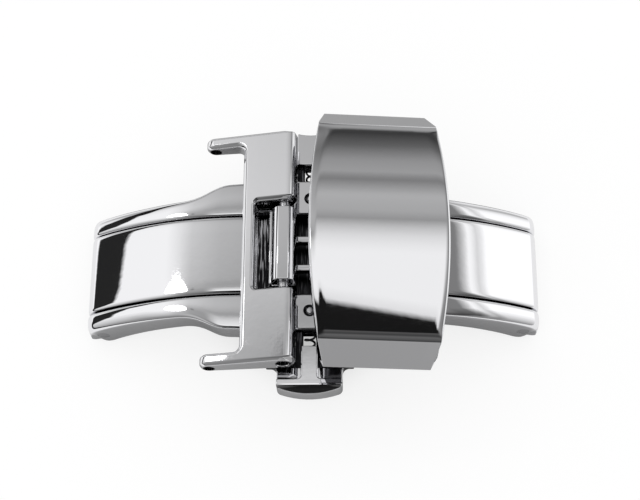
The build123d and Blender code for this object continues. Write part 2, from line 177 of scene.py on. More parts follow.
# Painted shade: the channel, the wings' hinge ends, the bores and the cover's underside take darker greys,
# and rougher steel
CHANNEL_END = (4.2, 4.5)
CHANNEL_TOP = DECK - 0.06
HINGE_END_HALF = WING_HALF + 0.2
HINGE_END_TOP = DECK + 0.3
SLIDE_HALF = 9.7
BORE_MARGIN = 0.02
RIM_MARGIN = 0.06
PAINTED_SHADE_GREYS = ("#262628", "#7C7C80")
PAINTED_SHADE_GREYS_HINGE_END = ("#1E1E20", "#F4F4F8")
PAINTED_SHADE_GREYS_CHEEKS = ("#7A7A7E", "#9C9CA0")

# The light tent round the clasp. A direction in it is told by its x, or in degrees from overhead:
# across the strap, where the far side is positive, and along it, where the cover's side is positive.
# Each grey is what steel shows that gives back this share of the light.
STEEL_REFLECTS = 0.83
HORIZON = 90
ACROSS_GREYS = (
    (-90, 0.50), (-62, 0.60), (-57, 0.20), (-50, 0.30), (-32, 0.37), (-20, 0.24), (-8, 0.30), (-4.8, 0.32),
    (-3.4, 0.20), (-2.4, 0.09), (5.2, 0.09), (6.0, 0.86), (9, 0.92), (18, 0.92), (20, 0.89), (22, 0.84),
    (24, 0.74), (26, 0.57), (28, 0.64), (32, 0.67), (36, 0.47), (38, 0.60), (41, 0.56), (45, 0.37),
    (49, 0.19), (51.5, 0.54), (60, 0.60), (90, 0.60),
)
ALONG_GREYS = (
    (-90, 0.97), (-81, 0.97), (-78, 0.14), (-62.5, 0.14), (-60.5, 0.94), (-40, 0.94), (-34, 0.88),
    (-28, 0.79), (-15, 0.71), (0, 0.67), (22, 0.60), (28, 0.47), (34.2, 0.48), (37.7, 0.77), (40.2, 0.97),
    (42, 0.93), (44.3, 0.83), (46.5, 0.90), (48.7, 1.0), (90, 1.0),
)
ARM_SHADES = (
    (-90, 0.50), (-52, 0.53), (-33, 0.60), (-15, 0.75), (4, 0.87), (18, 1.0), (26, 1.0), (34, 0.92),
    (45, 0.66), (52, 0.75), (66, 0.92), (78, 0.75), (86, 0.35), (90, 0.20),
)
# Soft edges between panels: 0 up to the first place and 1 from the second one on, in either direction
SOFT_EDGES = {
    "far_of_gap": ("across", -3.0, 1.0),
    "near_of_gap": ("across", 15.0, 8.0),
    "left_half": ("x", 0.13, 0.03),
    "left_of_middle": ("x", 0.1, 0.0),
    "past_rails": ("across", 18.0, 21.0),
    "left_end": ("along", -40.0, -55.0),
    "left_arm": ("x", -0.24, -0.36),
    "left_panel": ("along", -38.0, -27.0),
    "right_arm": ("x", 0.32, 0.42),
    "left_of_right_arm": ("x", 0.42, 0.32),
    "right_half": ("x", 0.05, 0.15),
    "high": ("across", 19.5, 23.0),
    "camera_left": ("x", -0.22, -0.12),
    "camera_right": ("x", 0.17, 0.10),
    "camera_foot": ("across", -62.0, -57.0),
    "camera_top": ("across", 1.0, -1.0),
}
# Leaning edges: from one angle to another, the edge moves from one shift to another, in degrees
GAP_LEAN = ("along", 9.0, 18.0, -2.7, 5.4)
LEFT_HALF_SHIFT = 4.0
END_LEAN = ("across", 2.0, 40.0, 16.8, -13.6)
WING_LEAN = ("across", 21.5, 25.0, 1.575, -0.175)
# The right edge leans by a share of the angle across, and stands upright at one angle
RIGHT_LEAN = (0.25, 25.0)
# The left panel darkens from one angle across to another, up to a share; the patch on it is an ellipse
LEFT_DIMMING = (25.5, 19.0, 0.42)
PATCH_PLACE = (20.2, -26.6)
PATCH_REACH = (2.4, 2.6)
PATCH_DARK = 0.64
CAMERA_DARK = 0.93
CAMERA_GREY = "#161616"
# Soft box: its size in metres, its power in watts, and how far it stands off in its direction
LAMP_SIZE = (0.105, 0.062)
LAMP_POWER = 0.07
LAMP_TOWARDS = Vector((-0.539, 0.334, 0.773))
LAMP_AWAY = 0.6

# Paper: its half size in metres, its greys and glow, and the soft shadows painted on it. A painted shadow has
# its place and its reach in x and y in millimetres, where it starts to fade as a share of that, and the light
# left
PAPER_HALF = 1.5
PAPER_SEEN = "#7C7C7C"
PAPER_IN_STEEL = "#A8A8A8"
PAPER_GLOW = 0.8
PAPER_PAINTED_SHADOWS = (
    (1.5, 12.0, 11.0, 0.1, 0.5),
    (-4.0, 6.0, 7.0, 0.0, 0.75),
)
# Painted light on the paper in the steel's reflections past both ends: from and to a distance in millimetres,
# and how strong
PAPER_PAINTED_END_GLOW = (18.0, 19.5, 0.55)

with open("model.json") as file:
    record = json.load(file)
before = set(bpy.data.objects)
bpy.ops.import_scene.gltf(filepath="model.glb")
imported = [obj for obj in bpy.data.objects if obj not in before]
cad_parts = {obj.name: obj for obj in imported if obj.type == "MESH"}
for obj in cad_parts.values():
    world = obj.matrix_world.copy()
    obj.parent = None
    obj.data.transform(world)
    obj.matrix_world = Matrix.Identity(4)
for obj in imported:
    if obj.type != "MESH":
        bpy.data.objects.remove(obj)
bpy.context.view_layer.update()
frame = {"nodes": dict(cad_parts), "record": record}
slots = {part["node"]: part["material_slot"] for part in frame["record"]["subparts"]}
bodies = {node: body for body, nodes in frame["record"]["behaviour"]["bodies"].items() for node in nodes}


def set_camera():
    tilt, yaw, roll = (math.radians(a) for a in (CAMERA_TILT, CAMERA_YAW, CAMERA_ROLL))
    level = math.cos(tilt)
    back = Vector((math.sin(yaw) * level, -math.sin(tilt), math.cos(yaw) * level)).normalized()
    right = Vector((0, 1, 0)).cross(back).normalized()
    up = back.cross(right)
    turned_right = math.cos(roll) * right + math.sin(roll) * up
    turned_up = math.cos(roll) * up - math.sin(roll) * right
    data = bpy.data.cameras.new("camera")
    data.lens = LENS_MM
    data.sensor_width = SENSOR_MM
    data.clip_start = SEEN_FROM
    data.clip_end = SEEN_TO
    camera = bpy.data.objects.new("camera", data)
    bpy.context.scene.collection.objects.link(camera)
    turn = Matrix((turned_right, turned_up, back)).transposed().to_4x4()
    camera.matrix_world = Matrix.Translation(CAMERA_PLACE) @ turn
    bpy.context.scene.camera = camera


def linear(hex_colour):
    """An sRGB hex colour as the linear RGBA that a shader socket takes."""
    parts = [int(hex_colour[i:i + 2], 16) / 255 for i in (1, 3, 5)]
    return [p / 12.92 if p <= 0.04045 else ((p + 0.055) / 1.055) ** 2.4 for p in parts] + [1.0]


def add_node(tree, kind, sockets=(), stops=(), **settings):
    """Adds a shader node with its settings. Sockets, by name or in order, take a value, an output of
    another node, or a node that stands for its first output. Stops are a ramp's places and colours."""
    node = tree.nodes.new("ShaderNode" + kind)
    for name, value in settings.items():
        setattr(node, name, value)
    for name, value in sockets.items() if isinstance(sockets, dict) else enumerate(sockets):
        if isinstance(value, bpy.types.Node):
            value = value.outputs[0]
        if isinstance(value, bpy.types.NodeSocket):
            tree.links.new(value, node.inputs[name])
        else:
            node.inputs[name].default_value = value
    for count, (place, colour) in enumerate(stops):
        elements = node.color_ramp.elements
        element = elements[count] if count < 2 else elements.new(place)
        element.position = place
        element.color = colour
    return node


def new_material(name):
    material = bpy.data.materials.new(name)
    material.use_nodes = True
    material.node_tree.nodes.clear()
    return material, material.node_tree


def per_mm(sizes):
    """Scale of a pattern whose grains have these sizes in millimetres."""
    return tuple(1 / (size * MM) for size in sizes)


def in_channel(tree, place, half, height):
    """1 in the middle of the clasp up to a half width and a height in millimetres, 0 elsewhere."""
    x, y, z = add_node(tree, "SeparateXYZ", (place,)).outputs
    along = add_node(tree, "Math", (x,), operation="ABSOLUTE")
    within = add_node(tree, "MapRange", (along, CHANNEL_END[1] * MM, CHANNEL_END[0] * MM),
                      interpolation_type="SMOOTHSTEP")
    across = add_node(tree, "Math", (y, MIDDLE_SHIFT * MM, half * MM), operation="COMPARE")
    low = add_node(tree, "Math", (z, height * MM), operation="LESS_THAN")
    within = add_node(tree, "Math", (within, across), operation="MULTIPLY")
    return add_node(tree, "Math", (within, low), operation="MULTIPLY")


def in_link_bores(tree, place):
    """1 in the link's bores for its pin and for the strap's bar, 0 elsewhere."""
    side_view = add_node(tree, "VectorMath", (place, (1, 0, 1)), operation="MULTIPLY")
    inside = 0.0
    for bore_x, bore_z, radius in ((-HINGE[0], HINGE[1], LINK_PIN_HOLE_R),
                                   (*LUG_BORE, LUG_BORE_R + BORE_MARGIN)):
        apart = add_node(tree, "VectorMath", (side_view, (bore_x * MM, 0, bore_z * MM)), operation="DISTANCE")
        within = add_node(tree, "Math", (apart.outputs["Value"], radius * MM), operation="LESS_THAN")
        inside = add_node(tree, "Math", (within, inside), operation="MAXIMUM")
    return inside


def below_rim(tree, place):
    """1 for the cover's cheeks and barrels, below its rim, 0 elsewhere."""
    parts = add_node(tree, "SeparateXYZ", (place,)).outputs
    slope = math.tan(math.radians(COVER_TILT))
    height = add_node(tree, "Math", (parts["X"], slope, parts["Z"]), operation="MULTIPLY_ADD")
    rim = (HINGE[1] + HINGE[0] * slope + COVER_RIM - RIM_MARGIN) * MM
    return add_node(tree, "Math", (height, rim), operation="LESS_THAN")


def buffed_steel(name, dull_and_painted_shade_part=None, dull_and_painted_shade_sizes=(), dull_and_painted_shade_greys=PAINTED_SHADE_GREYS, ripple_height=RIPPLE_HEIGHT):
    """316L stainless steel, pressed and buffed on a mop: a mirror with a faint haze and ripple.
    In the dull part the colour is darkened to a painted shade, streaked by the shear marks, and the steel is
    rougher."""
    material, tree = new_material(name)
    place = add_node(tree, "TexCoord").outputs["Object"]
    # Haze: fine streaks along the strap, about 0.1 mm wide and 1 mm long, that blur the mirror a little
    haze_place = add_node(tree, "Mapping", {"Vector": place, "Scale": per_mm(HAZE_GRAIN)})
    haze = add_node(tree, "TexNoise", {"Vector": haze_place, "Scale": 1.0, "Detail": 3.0})
    rough = add_node(tree, "MapRange", {"Value": haze, "From Min": 0.35, "From Max": 0.75, "To Min": 0.015,
                                        "To Max": 0.045})
    # Ripple: the slight waviness that buffing leaves, about 0.6 mm from crest to crest
    ripple = add_node(tree, "TexNoise", {"Vector": place, "Scale": per_mm(RIPPLE_GRAIN)[0], "Detail": 2.0})
    bump = add_node(tree, "Bump", {"Height": ripple, "Strength": 1.0, "Distance": ripple_height * MM})
    # Shear marks: streaks across the strap where the press has torn through the sheet
    shear_place = add_node(tree, "Mapping", {"Vector": place, "Scale": per_mm(SHEAR_GRAIN)})
    shear = add_node(tree, "TexNoise", {"Vector": shear_place, "Scale": 1.0, "Detail": 3.0})
    torn = add_node(tree, "MapRange", {"Value": shear, "From Min": 0.52, "From Max": 0.7})
    # Painted shade: in the dull part the mirror's colour gives way to these darker greys
    painted_shade = add_node(tree, "MixRGB", (torn, *(linear(grey) for grey in dull_and_painted_shade_greys)))
    dull_and_painted_shade = dull_and_painted_shade_part(tree, place, *dull_and_painted_shade_sizes) if dull_and_painted_shade_part else 0.0
    colour = add_node(tree, "MixRGB", (dull_and_painted_shade, linear("#ECECEE"), painted_shade))
    dulled = add_node(tree, "Math", (dull_and_painted_shade, 0.3, rough), operation="MULTIPLY_ADD")
    shader = add_node(tree, "BsdfPrincipled", {"Base Color": colour, "Metallic": 1.0, "Roughness": dulled,
                                               "Normal": bump})
    add_node(tree, "OutputMaterial", (shader,))
    return material


def turned_steel():
    """Steel turned on a lathe: fine rings along each pin that catch the light as thin lines."""
    material, tree = new_material("turned_stainless_steel")
    place = add_node(tree, "TexCoord").outputs["Object"]
    # At a scale of 1, a band texture has 20 / 2 pi bands over a length of 1
    scale = per_mm(RING_PITCH)[0] / (20 / (2 * math.pi))
    rings = add_node(tree, "TexWave", {"Vector": place, "Scale": scale, "Distortion": 1.5, "Detail": 2.0},
                     bands_direction="Y").outputs["Fac"]
    bump = add_node(tree, "Bump", {"Height": rings, "Strength": 0.6, "Distance": RING_HEIGHT * MM})
    rough = add_node(tree, "MapRange", {"Value": rings, "To Min": 0.10, "To Max": 0.22})
    shader = add_node(tree, "BsdfPrincipled", {"Base Color": linear("#D2D2D4"), "Metallic": 1.0,
                                               "Roughness": rough, "Normal": bump})
    add_node(tree, "OutputMaterial", (shader,))
    return material


def spring_steel():
    """Drawn spring wire: dull, with long die marks, and its grey darkened as painted shade, so that it stays
    dark in its slot.
    """
    material, tree = new_material("drawn_spring_wire_with_painted_shade")
    place = add_node(tree, "TexCoord").outputs["Object"]
    marks_place = add_node(tree, "Mapping", {"Vector": place, "Scale": per_mm(DIE_MARK_GRAIN)})
    marks = add_node(tree, "TexNoise", {"Vector": marks_place, "Scale": 1.0, "Detail": 4.0})
    rough = add_node(tree, "MapRange", {"Value": marks, "To Min": 0.28, "To Max": 0.5})
    bump = add_node(tree, "Bump", {"Height": marks, "Strength": 0.5, "Distance": DIE_MARK_HEIGHT * MM})
    shader = add_node(tree, "BsdfPrincipled", {"Base Color": linear("#5A5A5E"), "Metallic": 1.0,
                                               "Roughness": rough, "Normal": bump})
    add_node(tree, "OutputMaterial", (shader,))
    return material


def is_sharp(edge):
    """Whether two faces meet at a real edge of the piece, and not within a curved face."""
    return len(edge.link_faces) == 2 and edge.calc_face_angle() > SHARP


def round_edges(form, radius, segments=ROUNDING_STEPS):
    """Rounds the sharp edges of a form as polishing leaves them."""
    bmesh.ops.bevel(form, geom=[e for e in form.edges if is_sharp(e)], offset=radius, offset_type="OFFSET",
                    segments=segments, profile=0.5, affect="EDGES", clamp_overlap=False, material=-1)


def cad_copy(node):
    """A CAD node's triangles, merged and joined into flat faces, in millimetres about the middle plane."""
    form = bmesh.new()
    form.from_mesh(frame["nodes"][node].data)
    bmesh.ops.scale(form, vec=(1 / MM, 1 / MM, 1 / MM), verts=form.verts)
    bmesh.ops.translate(form, vec=(0, -MIDDLE_SHIFT, 0), verts=form.verts)
    bmesh.ops.remove_doubles(form, verts=form.verts, dist=MERGED)
    bmesh.ops.dissolve_limit(form, angle_limit=FLAT, verts=form.verts, edges=form.edges)
    return form


def cut_off(form, place, normal):
    """Takes away what lies past a plane, and closes the cut."""
    cut = bmesh.ops.bisect_plane(form, geom=form.verts[:] + form.edges[:] + form.faces[:], dist=ON_PLANE,
                                 plane_co=place, plane_no=normal, clear_outer=True)
    edges = [e for e in cut["geom_cut"] if isinstance(e, bmesh.types.BMEdge)]
    bmesh.ops.holes_fill(form, edges=edges, sides=0)


def add_to(form, other):
    """Puts the second form into the first as a part of its own."""
    mesh = bpy.data.meshes.new("joined")
    other.to_mesh(mesh)
    other.free()
    form.from_mesh(mesh)
    bpy.data.meshes.remove(mesh)
    return form


def temporary(form, name):
    mesh = bpy.data.meshes.new(name)
    form.to_mesh(mesh)
    form.free()
    body = bpy.data.objects.new(name, mesh)
    bpy.context.scene.collection.objects.link(body)
    return body


def combined(form, others, operation):
    """The form with the other forms welded on or cut out, one after the other."""
    body = temporary(form, "workpiece")
    tools = [temporary(other, "tool") for other in others]
    for tool in tools:
        step = body.modifiers.new("step", "BOOLEAN")
        step.operation = operation
        step.solver = "EXACT"
        step.object = tool
    seen = body.evaluated_get(bpy.context.evaluated_depsgraph_get())
    mesh = bpy.data.meshes.new_from_object(seen)
    result = bmesh.new()
    result.from_mesh(mesh)
    for item in [body, *tools]:
        data = item.data
        bpy.data.objects.remove(item)
        bpy.data.meshes.remove(data)
    bpy.data.meshes.remove(mesh)
    bmesh.ops.remove_doubles(result, verts=result.verts, dist=MERGED)
    return result


def rod(x, z, radius, start, end, sides=ROD_SIDES):
    """A round bar along Y."""
    form = bmesh.new()
    turn = Matrix.Rotation(math.radians(90), 4, "X")
    place = Matrix.Translation((x, (start + end) / 2, z)) @ turn
    bmesh.ops.create_cone(form, cap_ends=True, segments=sides, radius1=radius, radius2=radius,
                          depth=end - start, matrix=place)
    return form


def make_piece(form, node, material, rides=True):
    """Turns a form into the shown piece that stands for a CAD node, and lets it ride on its body."""
    name = node + "_finished"
    bmesh.ops.translate(form, vec=(0, MIDDLE_SHIFT, 0), verts=form.verts)
    bmesh.ops.scale(form, vec=(MM, MM, MM), verts=form.verts)
    for face in form.faces:
        face.smooth = True
    for edge in form.edges:
        edge.smooth = not is_sharp(edge)
    mesh = bpy.data.meshes.new(name)
    form.to_mesh(mesh)
    form.free()
    mesh.materials.append(material)
    piece = bpy.data.objects.new(name, mesh)
    bpy.context.scene.collection.objects.link(piece)
    weighted = piece.modifiers.new("flat_faces_stay_flat", "WEIGHTED_NORMAL")
    weighted.keep_sharp = True
    if rides:
        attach(piece, bodies[node])
    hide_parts(node)
    return piece


def finished(node, material):
    """A CAD node with its sharp edges rounded as polishing leaves them."""
    form = cad_copy(node)
    if node in EDGE_ROUNDING:
        round_edges(form, EDGE_ROUNDING[node])
    return make_piece(form, node, material)


def return_spring(node, material):
    """A return spring's coil, shown where it stands and riding on no body. In the clasp it is pressed
    together as its button slides in, and one end stays on the base.
    """
    coil = make_piece(cad_copy(node), node, material, rides=False)
    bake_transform(coil)
    return coil


def fill_bore(form, x, z, radius):
    """Closes a bore along Y, so that the faces at its ends become whole again."""
    wall = [face for face in form.faces
            if all(abs(math.hypot(v.co.x - x, v.co.z - z) - radius) < ON_SURFACE for v in face.verts)]
    bmesh.ops.delete(form, geom=wall, context="FACES")
    bmesh.ops.holes_fill(form, edges=[e for e in form.edges if e.is_boundary], sides=0)
    bmesh.ops.recalc_face_normals(form, faces=form.faces)
    bmesh.ops.dissolve_limit(form, angle_limit=FLAT, verts=form.verts, edges=form.edges)


def tighten_nose(form):
    """Draws the link's roll over its pin out to the crisp corner that the photo shows."""
    lean = math.radians(LINK_LEAN)
    onward = Vector((math.cos(lean), 0, math.sin(lean)))
    upward = Vector((-math.sin(lean), 0, math.cos(lean)))
    nose = Vector((-HINGE[0], 0, HINGE[1]))
    for vert in form.verts:
        apart = vert.co - nose
        ahead, up = apart.dot(onward), apart.dot(upward)
        on_roll = abs(math.hypot(ahead, up) - LINK_NOSE_R) < ON_SURFACE
        if ahead > OFF_AXIS and up > OFF_AXIS and on_roll:
            turn = math.atan2(up, ahead)
            size = (math.cos(turn) ** LINK_CORNER + math.sin(turn) ** LINK_CORNER) ** (-1 / LINK_CORNER)
            vert.co += (onward * math.cos(turn) + upward * math.sin(turn)) * LINK_NOSE_R * (size - 1)


def strap_link(material):
    """The CAD link with a crisper nose. Its lugs are so slender that their bores are drilled last."""
    form = cad_copy("strap_link")
    tighten_nose(form)
    fill_bore(form, *LUG_BORE, LUG_BORE_R)
    round_edges(form, EDGE_ROUNDING["strap_link"])
    drill = rod(*LUG_BORE, LUG_BORE_R, -COVER_HALF, COVER_HALF, BORE_STEPS)
    return make_piece(combined(form, [drill], "DIFFERENCE"), "strap_link", material)


def turned(centre, radius, degrees):
    """The point of a circle at an angle."""
    angle = math.radians(degrees)
    return centre[0] + radius * math.cos(angle), centre[1] + radius * math.sin(angle)


def bearing(start, end):
    """The angle from one point to another, in degrees."""
    return math.degrees(math.atan2(end[1] - start[1], end[0] - start[0]))


def arc_points(centre, radius, start, end, steps):
    return [turned(centre, radius, start + (end - start) * k / steps) for k in range(steps + 1)]


def arm_side(centre, radius, last):
    """Upper and lower line of an arm's side view, from the hidden seam round the eye, in equal steps."""
    crown_turn = bearing(CROWN_CENTRE, EYE)
    upper = [(SEAM_X, DECK)] + arc_points(CROWN_CENTRE, CROWN_R, 90, crown_turn, ARM_STEPS)
    lower = [(SEAM_X, centre[1] + radius)] + arc_points(centre, radius, 90, last, ARM_STEPS)
    back = bearing(EYE, lower[-1])
    if back > 0:
        back -= 360
    tip = (crown_turn + back) / 2
    upper += arc_points(EYE, EYE_R, crown_turn, tip + EYE_TIP_GAP, EYE_STEPS)[1:]
    lower += arc_points(EYE, EYE_R, back, tip - EYE_TIP_GAP, EYE_STEPS)[1:]
    return upper, lower


def bezier_shares(t):
    """How much each of the four points of a curve counts at a share of its way."""
    return (1 - t) ** 3, 3 * (1 - t) ** 2 * t, 3 * (1 - t) * t ** 2, t ** 3


def outer_half(x):
    """Half width of the base over a place on an arm: the knee, the pulled-in waist and the rounded end."""
    if x <= KNEE[0]:
        return MIDDLE_HALF - (MIDDLE_HALF - KNEE[1]) * (x / KNEE[0]) ** 2
    if x >= WAIST[0]:
        tip = EYE[0] + EYE_R
        half = WAIST[1] + (END_HALF - WAIST[1]) * (x - WAIST[0]) / (tip - WAIST[0])
        over = max(x - (tip - END_CORNER), 0)
        return half - END_CORNER + math.sqrt(max(END_CORNER ** 2 - over ** 2, 0))
    flare = WAIST[0] - KNEE[0]
    steps = [KNEE, (KNEE[0] + KNEE_PULL * flare, KNEE[1]), (WAIST[0] - WAIST_PULL * flare, WAIST[1]), WAIST]
    low, high = 0.0, 1.0
    for _ in range(HALVINGS):
        t = (low + high) / 2
        at, half = (sum(share * step[k] for share, step in zip(bezier_shares(t), steps)) for k in (0, 1))
        low, high = (t, high) if at < x else (low, t)
    return half


def rounded(corners, steps=CORNER_STEPS):
    """Outline through corners, each given as a place and how far its rounding reaches back and onward."""
    points = []
    for k, (across, up, back, onward) in enumerate(corners):
        here = Vector((across, up))
        if not back:
            points.append(here)
            continue
        before = Vector(corners[k - 1][:2])
        after = Vector(corners[(k + 1) % len(corners)][:2])
        start = here.lerp(before, back / (before - here).length)
        end = here.lerp(after, onward / (after - here).length)
        for step in range(steps + 1):
            t = step / steps
            points.append(start.lerp(here, t).lerp(here.lerp(end, t), t))
    return points


def loft(rings):
    """A closed form through rings of equally many points, bridged one after the other. The first end is
    closed before that, because the bridges take their direction from it."""
    form = bmesh.new()
    rows = [[form.verts.new(place) for place in ring] for ring in rings]
    loops = [[form.edges.new((row[k - 1], row[k])) for k in range(len(row))] for row in rows]
    form.faces.new(rows[0][::-1])
    for loop, following in zip(loops, loops[1:]):
        bmesh.ops.bridge_loops(form, edges=loop + following)
    form.faces.new(rows[-1])
    bmesh.ops.recalc_face_normals(form, faces=form.faces)
    return form


def along_arm(upper, lower, outline):
    """Rings along an arm; outline gives (across, height) points for a place and its thickness."""
    rings = []
    for top, foot in zip(upper, lower):
        foot = Vector(foot)
        rise = Vector(top) - foot
        points = outline(top[0], rise.length)
        rise.normalize()
        rings.append([(foot.x + rise.x * p.y, p.x, foot.y + rise.y * p.y) for p in points])
    return rings


def rail_outline(x, thick):
    """A rail's section: softly crowned on top, and rolled over its outer edge, more so towards the end."""
    share = min(max((x - RAIL_SOFTENS[0]) / RAIL_SOFTENS[1], 0), 1)
    crest_share, roll, roll_down, edge, inner_down = (
        start + added * share for start, added in (RAIL_CREST, RAIL_ROLL, RAIL_ROLL_DOWN, RAIL_INNER_EDGE,
                                                   RAIL_INNER_DOWN))
    outer = outer_half(x)
    width = outer - RAIL_INNER
    crest = RAIL_INNER + crest_share * width
    roll = min(roll, RAIL_LIMITS["roll"] * width)
    roll_down = min(roll_down, RAIL_LIMITS["roll_down"] * thick)
    inner_down = min(inner_down, RAIL_LIMITS["inner_down"] * thick)
    inner_drop = (crest - RAIL_INNER) * RAIL_CROWNING
    outer_drop = (outer - crest) * RAIL_CROWNING
    return rounded([(RAIL_INNER, 0, 0, 0), (RAIL_INNER, thick - inner_drop, inner_down, edge),
                    (crest, thick, RAIL_CROWN_REACH * (crest - RAIL_INNER - edge),
                     RAIL_CROWN_REACH * (outer - crest - roll)),
                    (outer, thick - outer_drop, roll, roll_down), (outer, 0, RAIL_FOOT, RAIL_FOOT)],
                   RAIL_CORNER_STEPS)


def rail():
    """One rail of the far right arm, from the hidden seam to the eye."""
    under = DECK - BASE_DEPTH
    rise = EYE[1] - under
    radius = ((EYE[0] - CROWN_FLAT) ** 2 + rise ** 2 - EYE_R ** 2) / (2 * (EYE_R - rise))
    centre = (CROWN_FLAT, under - radius)
    form = loft(along_arm(*arm_side(centre, radius, bearing(centre, EYE)), rail_outline))
    return combined(form, [rod(*EYE, END_PIN_HOLE_R, 0, 2 * END_HALF)], "DIFFERENCE")


def mirrored(form, axis):
    """A mirrored copy, with its faces turned outwards again."""
    other = form.copy()
    scale = [1, 1, 1]
    scale["XYZ".index(axis)] = -1
    bmesh.ops.scale(other, vec=scale, verts=other.verts)
    bmesh.ops.reverse_faces(other, faces=other.faces)
    return other


def base_frame(material):
    """The middle of the CAD base between the hidden seams, with four smooth rails."""
    middle = cad_copy("base_frame")
    cut_off(middle, (SEAM_X, 0, 0), (1, 0, 0))
    cut_off(middle, (-SEAM_X, 0, 0), (-1, 0, 0))
    round_edges(middle, EDGE_ROUNDING["base_frame"], BASE_ROUNDING_STEPS)
    far_right = rail()
    near_right = mirrored(far_right, "Y")
    for side in (far_right, near_right):
        add_to(middle, mirrored(side, "X"))
    add_to(middle, far_right)
    add_to(middle, near_right)
    return make_piece(middle, "base_frame", material)


def wing_outline(x, thick):
    """The tongue's section: flat in the middle, with edges that polishing has drawn down."""
    drop = WING_SOFT_EDGE * WING_CROWNING
    down = min(WING_CORNER_DOWN, WING_CORNER_LIMIT * thick)
    outer, inner = WING_CREASE
    crease = WING_HALF - WING_SOFT_EDGE
    return rounded([(-WING_HALF, 0, 0, 0), (-WING_HALF, thick - drop, down, WING_CORNER),
                    (-crease, thick, outer, inner), (crease, thick, inner, outer),
                    (WING_HALF, thick - drop, WING_CORNER, down), (WING_HALF, 0, 0, 0)])


def wing(node, hand, material):
    """Hinge end of the CAD wing up to the hidden seam, and a smooth tongue with an eye past it."""
    form = cad_copy(node)
    cut_off(form, (hand * SEAM_X, 0, 0), (hand, 0, 0))
    round_edges(form, EDGE_ROUNDING[node])
    under = CROWN_R - WING_THICK
    reach = CROWN_R - EYE_R
    meet = math.degrees(math.acos((under ** 2 + reach ** 2 - EYE_R ** 2) / (2 * under * reach)))
    side = arm_side(CROWN_CENTRE, under, bearing(CROWN_CENTRE, EYE) + meet)
    tongue = loft(along_arm(*side, wing_outline))
    hole = rod(*EYE, END_PIN_HOLE_R + WING_EYE_PLAY, -END_HALF, END_HALF)
    tongue = combined(tongue, [hole], "DIFFERENCE")
    if hand < 0:
        tongue = mirrored(tongue, "X")
    return make_piece(add_to(form, tongue), node, material)


def cover_outer(y):
    """Height of the cover's roof over a distance from the middle plane, in the cover's own frame."""
    edge_half, edge = COVER_EDGE
    rise = COVER_CROWN - edge
    radius = (edge_half ** 2 + rise ** 2) / (2 * rise)
    return COVER_CROWN - radius + math.sqrt(radius ** 2 - y ** 2)


def cover_end(y, middle, side, corner):
    """How far an end of the cover reaches at a distance from the middle plane, with its rounded corner."""
    bow = abs(middle - side)
    radius = (COVER_HALF ** 2 + bow ** 2) / (2 * bow)
    fall = radius - math.sqrt(radius ** 2 - y ** 2)
    over = max(abs(y) - (COVER_HALF - corner), 0)
    fall += corner - math.sqrt(max(corner ** 2 - over ** 2, 0))
    return middle + fall if middle < 0 else middle - fall


def cover_profile():
    """The cover's section as (across, height) points: the outside first, then the inside."""
    edge_half, edge = COVER_EDGE
    slope = math.atan2(edge - COVER_RIM, COVER_HALF - edge_half)
    inner_edge = edge_half - COVER_WALL * math.tan(slope / 2)
    inner_foot = COVER_HALF - COVER_WALL / math.sin(slope)
    crown_half = edge_half - COVER_CROWN_MARGIN
    places = [crown_half * (2 * k / COVER_CROWN_STEPS - 1) for k in range(COVER_CROWN_STEPS + 1)]
    crown = [(y, cover_outer(y)) for y in places]
    corners = [(-COVER_HALF, COVER_RIM, 0, 0), (-edge_half, edge, COVER_CREASE, COVER_CREASE)]
    corners += [(y, z, 0, 0) for y, z in crown]
    corners += [(edge_half, edge, COVER_CREASE, COVER_CREASE), (COVER_HALF, COVER_RIM, 0, 0)]
    outside = rounded(corners, COVER_CREASE_STEPS)
    inside = [Vector((inner_foot, COVER_RIM)), Vector((inner_edge, edge - COVER_WALL))]
    inside += [Vector((y * inner_edge / edge_half, z - COVER_WALL)) for y, z in reversed(crown)]
    inside += [Vector((-inner_edge, edge - COVER_WALL)), Vector((-inner_foot, COVER_RIM))]
    return outside, inside


def end_drop(away, y, soft):
    """How far the outside lies back near an end: the roof is drawn down softly, and the rim rounded."""
    on_roof = min(max((COVER_EDGE[0] + COVER_ROOF_MARGIN - abs(y)) / COVER_ROOF_FADE, 0), 1)
    near_crease = (abs(y) / COVER_EDGE[0]) ** COVER_CREASE_POWER
    reach = soft[0] * (1 + near_crease if y > 0 else 1)
    drop = soft[1] * (1 + near_crease)
    roof, flank = COVER_RIM_ROUNDING
    rim = flank + (roof - flank) * on_roof
    over = max(rim - away, 0)
    return drop * on_roof * max(1 - away / reach, 0) ** 2 + rim - math.sqrt(rim ** 2 - over ** 2)


def cover_shell():
    """The pressed shell: a crowned roof with two sloping flanks, and ends that curve in plan."""
    outside, inside = cover_profile()
    count = len(outside)
    rings = []
    for side, places, soft in ((COVER_FRONT, COVER_END_STEPS, COVER_SOFT_FRONT),
                               (COVER_BACK, COVER_END_STEPS[::-1], COVER_SOFT_BACK)):
        for away in places:
            ring = []
            for k, place in enumerate(outside + inside):
                x = cover_end(place.x, *side)
                x += away if side is COVER_FRONT else -away
                if k < count:
                    before, after = outside[max(k - 1, 0)], outside[min(k + 1, count - 1)]
                    ahead = (after - before).normalized()
                    place = place - Vector((-ahead.y, ahead.x)) * end_drop(away, place.x, soft)
                ring.append((x, place.x, place.y))
            rings.append(ring)
    return loft(rings)


def cheek():
    """Far cheek under the cover, with its hinge barrel and the eye for the strap bar."""
    start, end = CHEEK
    plate = bmesh.new()
    bmesh.ops.create_cube(plate, size=1)
    for vert in plate.verts:
        right, top = vert.co.x > 0, vert.co.z > 0
        vert.co.x = BAR[0] + BAR_EYE_R if right else -BARREL_R
        vert.co.y = end if vert.co.y > 0 else start
        if top:
            vert.co.z = CHEEK_TOP[0] if vert.co.y == start else CHEEK_TOP[1]
        else:
            vert.co.z = BAR[1] if right else 0.0
    lobes = [rod(0, 0, BARREL_R, BARREL_INNER, end), rod(*BAR, BAR_EYE_R, start, end)]
    return combined(plate, lobes, "UNION")


